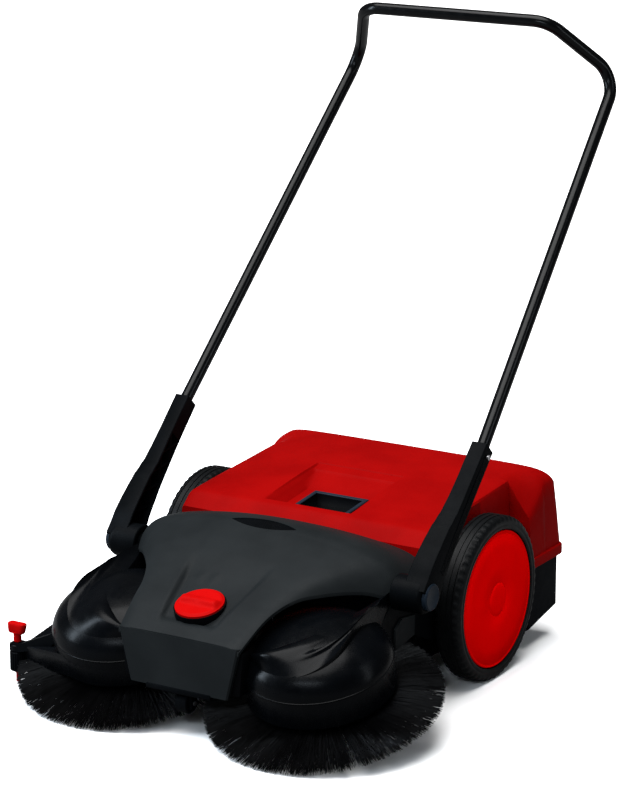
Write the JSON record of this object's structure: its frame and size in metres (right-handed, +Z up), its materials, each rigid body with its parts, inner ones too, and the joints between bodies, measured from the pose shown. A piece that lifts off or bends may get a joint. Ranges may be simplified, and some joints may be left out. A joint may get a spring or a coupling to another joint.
{
  "type": "walk behind sweeper",
  "caption": "Hand-pushed floor sweeper: two wheels drive tilted disc brushes that throw dirt over a ramp into a lift-off container; U-shaped handle folds forward.",
  "frame": {"origin": "on the floor, under the middle of the whole machine", "axes": "+Z up; the front of the machine (nose and brushes) faces -Y, the handle rises towards +Y; +X is to the right seen from the front"},
  "size_m": [0.7695, 1.0389, 1.0806],
  "materials": {
    "hood_grey": "moulded dark grey plastic, fine grain",
    "red_plastic": "smooth red plastic",
    "black_gloss": "glossy black plastic",
    "black_plastic": "satin black plastic",
    "cap_blue_grey": "blue-grey plastic",
    "rubber": "black rubber with moulded tread",
    "lip_rubber": "black rubber",
    "bristle": "black nylon bristles",
    "steel": "turned steel",
    "tube_paint": "gloss black powder coat",
    "bush_plastic": "natural nylon"
  },
  "bodies": {
    "chassis": {"chassis_frame": "black_plastic", "front_cover": "hood_grey", "slot_insert": "black_gloss", "cover_screws": "steel", "dirt_ramp": "black_plastic", "ramp_lip": "lip_rubber", "knob_socket": "black_plastic", "guide_arm": "black_plastic", "axle_clips": "steel", "axle_left": "steel", "drive_belt_left": "lip_rubber", "spindle_bush_left": "bush_plastic", "brush_cover_left": "black_gloss", "side_panel_left": "hood_grey", "pivot_pin_left": "steel", "axle_right": "steel", "drive_belt_right": "lip_rubber", "spindle_bush_right": "bush_plastic", "brush_cover_right": "black_gloss", "side_panel_right": "hood_grey", "pivot_pin_right": "steel"},
    "height_knob": {"height_knob": "red_plastic"},
    "roller_fork": {"roller_fork": "black_plastic", "roller_pin": "steel"},
    "support_roller": {"support_roller": "black_plastic"},
    "guide_screw": {"guide_pin": "red_plastic", "guide_knob": "red_plastic"},
    "guide_roller": {"guide_roller": "black_plastic"},
    "handle": {"handle_tube": "tube_paint", "handle_bracket_left": "black_plastic", "handle_bracket_right": "black_plastic", "tube_screws": "steel", "pivot_caps": "cap_blue_grey"},
    "container": {"container_shell": "red_plastic", "container_tub": "black_plastic", "grip_frame": "black_plastic"},
    "wheel_left": {"tyre_left": "rubber", "rim_left": "black_plastic", "wheel_disc_left": "red_plastic"},
    "lay_shaft_left": {"gear_shaft_left": "steel", "rear_pulley_left": "bush_plastic"},
    "cross_shaft_left": {"front_shaft_left": "steel", "front_pulley_left": "bush_plastic", "crown_pinion_left": "bush_plastic"},
    "brush_left": {"brush_spindle_left": "steel", "brush_plate_left": "black_plastic", "bristles_left": "bristle", "crown_gear_left": "bush_plastic"},
    "wheel_right": {"tyre_right": "rubber", "rim_right": "black_plastic", "wheel_disc_right": "red_plastic"},
    "lay_shaft_right": {"gear_shaft_right": "steel", "rear_pulley_right": "bush_plastic"},
    "cross_shaft_right": {"front_shaft_right": "steel", "front_pulley_right": "bush_plastic", "crown_pinion_right": "bush_plastic"},
    "brush_right": {"brush_spindle_right": "steel", "brush_plate_right": "black_plastic", "bristles_right": "bristle", "crown_gear_right": "bush_plastic"}
  },
  "joints": [
    {"name": "wheel_left_spin", "type": "hinge", "parent": "chassis", "child": "wheel_left", "pos_m": [-0.265, 0.04, 0.1425], "axis": [1, 0, 0], "continuous": true},
    {"name": "lay_shaft_left_spin", "type": "hinge", "parent": "chassis", "child": "lay_shaft_left", "pos_m": [-0.233, -0.05, 0.1425], "axis": [1, 0, 0], "continuous": true},
    {"name": "cross_shaft_left_spin", "type": "hinge", "parent": "chassis", "child": "cross_shaft_left", "pos_m": [-0.178, -0.36229, 0.13703], "axis": [1, 0, 0], "continuous": true},
    {"name": "brush_left_spin", "type": "hinge", "parent": "chassis", "child": "brush_left", "pos_m": [-0.175, -0.34, 0.055], "axis": [0, -0.2622, 0.965], "continuous": true},
    {"name": "wheel_right_spin", "type": "hinge", "parent": "chassis", "child": "wheel_right", "pos_m": [0.289, 0.04, 0.1425], "axis": [1, 0, 0], "continuous": true},
    {"name": "lay_shaft_right_spin", "type": "hinge", "parent": "chassis", "child": "lay_shaft_right", "pos_m": [0.257, -0.05, 0.1425], "axis": [1, 0, 0], "continuous": true},
    {"name": "cross_shaft_right_spin", "type": "hinge", "parent": "chassis", "child": "cross_shaft_right", "pos_m": [0.202, -0.36229, 0.13703], "axis": [1, 0, 0], "continuous": true},
    {"name": "brush_right_spin", "type": "hinge", "parent": "chassis", "child": "brush_right", "pos_m": [0.199, -0.34, 0.055], "axis": [0, -0.2622, 0.965], "continuous": true},
    {"name": "handle_fold", "type": "hinge", "parent": "chassis", "child": "handle", "pos_m": [0.012, -0.214, 0.2205], "axis": [1, 0, 0], "range_deg": [0, 100]},
    {"name": "container_lift", "type": "slide", "parent": "chassis", "child": "container", "axis": [0, 0, 1], "range_m": [0, 0.3]},
    {"name": "height_knob_turn", "type": "hinge", "parent": "chassis", "child": "height_knob", "pos_m": [0.012, -0.419, 0.212], "axis": [0, -0.2756, 0.9613], "range_deg": [0, 720]},
    {"name": "roller_height", "type": "slide", "parent": "chassis", "child": "roller_fork", "axis": [0, 0, 1], "range_m": [-0.041, 0]},
    {"name": "support_roller_spin", "type": "hinge", "parent": "roller_fork", "child": "support_roller", "pos_m": [0.012, -0.462, 0.06], "axis": [1, 0, 0], "continuous": true},
    {"name": "guide_screw_turn", "type": "hinge", "parent": "chassis", "child": "guide_screw", "pos_m": [-0.3665, -0.407, 0.07], "axis": [0, 0, 1], "range_deg": [0, 360]},
    {"name": "guide_roller_spin", "type": "hinge", "parent": "guide_screw", "child": "guide_roller", "pos_m": [-0.3665, -0.407, 0.052], "axis": [0, 0, 1], "continuous": true}
  ],
  "couplings": [
    {"joint": "lay_shaft_left_spin", "follows": "wheel_left_spin", "ratio": 6},
    {"joint": "cross_shaft_left_spin", "follows": "wheel_left_spin", "ratio": 6},
    {"joint": "brush_left_spin", "follows": "wheel_left_spin", "ratio": 2},
    {"joint": "lay_shaft_right_spin", "follows": "wheel_right_spin", "ratio": 6},
    {"joint": "cross_shaft_right_spin", "follows": "wheel_right_spin", "ratio": 6},
    {"joint": "brush_right_spin", "follows": "wheel_right_spin", "ratio": -2},
    {"joint": "roller_height", "follows": "height_knob_turn", "m_per_rad": -0.0032627}
  ]
}
